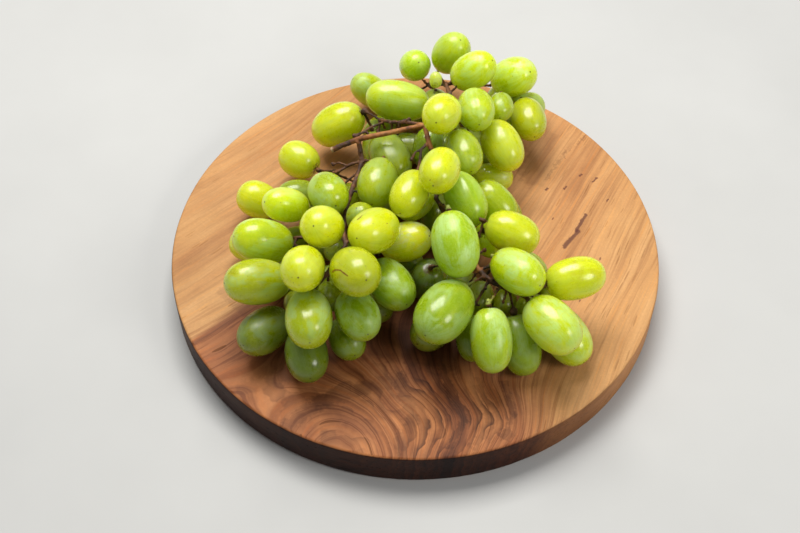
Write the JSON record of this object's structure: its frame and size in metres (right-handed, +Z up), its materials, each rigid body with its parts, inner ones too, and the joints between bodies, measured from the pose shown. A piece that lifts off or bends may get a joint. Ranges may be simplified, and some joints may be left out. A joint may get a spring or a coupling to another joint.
{
  "type": "bunch of green grapes on a round wooden board",
  "caption": "Bunch of green table grapes with its branched stem, resting on a plain round wooden serving board; a still-life food prop for a table or worktop.",
  "frame": {"origin": "centre of the board's flat underside", "axes": "+Z up out of the board; the crown of the bunch lies to +Y, its shoulders hang towards -Y and its cut stalk points to -X"},
  "size_m": [0.25, 0.25, 0.0903],
  "materials": {
    "board_wood": "oiled, warm brown with darker figure",
    "grape_skin": "translucent yellow-green skin with a faint waxy bloom",
    "stem_wood": "rough dry brown stalk with green pedicels"
  },
  "bodies": {
    "root": {"board": "board_wood", "stem": "stem_wood", "grape_crown_01": "grape_skin", "grape_crown_02": "grape_skin", "grape_crown_03": "grape_skin", "grape_crown_04": "grape_skin", "grape_crown_05": "grape_skin", "grape_crown_06": "grape_skin", "grape_crown_07": "grape_skin", "grape_crown_08": "grape_skin", "grape_crown_09": "grape_skin", "grape_crown_10": "grape_skin", "grape_crown_11": "grape_skin", "grape_crown_12": "grape_skin", "grape_crown_13": "grape_skin", "grape_crown_14": "grape_skin", "grape_crown_15": "grape_skin", "grape_crown_16": "grape_skin", "grape_crown_17": "grape_skin", "grape_crown_18": "grape_skin", "grape_crown_19": "grape_skin", "grape_crown_20": "grape_skin", "grape_crown_21": "grape_skin", "grape_crown_22": "grape_skin", "grape_crown_23": "grape_skin", "grape_crown_24": "grape_skin", "grape_right_01": "grape_skin", "grape_right_02": "grape_skin", "grape_right_03": "grape_skin", "grape_right_04": "grape_skin", "grape_right_05": "grape_skin", "grape_right_06": "grape_skin", "grape_right_07": "grape_skin", "grape_right_08": "grape_skin", "grape_right_09": "grape_skin", "grape_right_10": "grape_skin", "grape_right_11": "grape_skin", "grape_right_12": "grape_skin", "grape_right_13": "grape_skin", "grape_right_14": "grape_skin", "grape_left_01": "grape_skin", "grape_left_02": "grape_skin", "grape_left_03": "grape_skin", "grape_left_04": "grape_skin", "grape_left_05": "grape_skin", "grape_left_06": "grape_skin", "grape_left_07": "grape_skin", "grape_left_08": "grape_skin", "grape_left_09": "grape_skin", "grape_left_10": "grape_skin", "grape_left_11": "grape_skin", "grape_left_12": "grape_skin", "grape_left_13": "grape_skin", "grape_left_14": "grape_skin", "grape_left_15": "grape_skin", "grape_left_16": "grape_skin", "grape_left_17": "grape_skin", "grape_left_18": "grape_skin", "grape_left_19": "grape_skin", "grape_left_20": "grape_skin"}
  },
  "joints": []
}
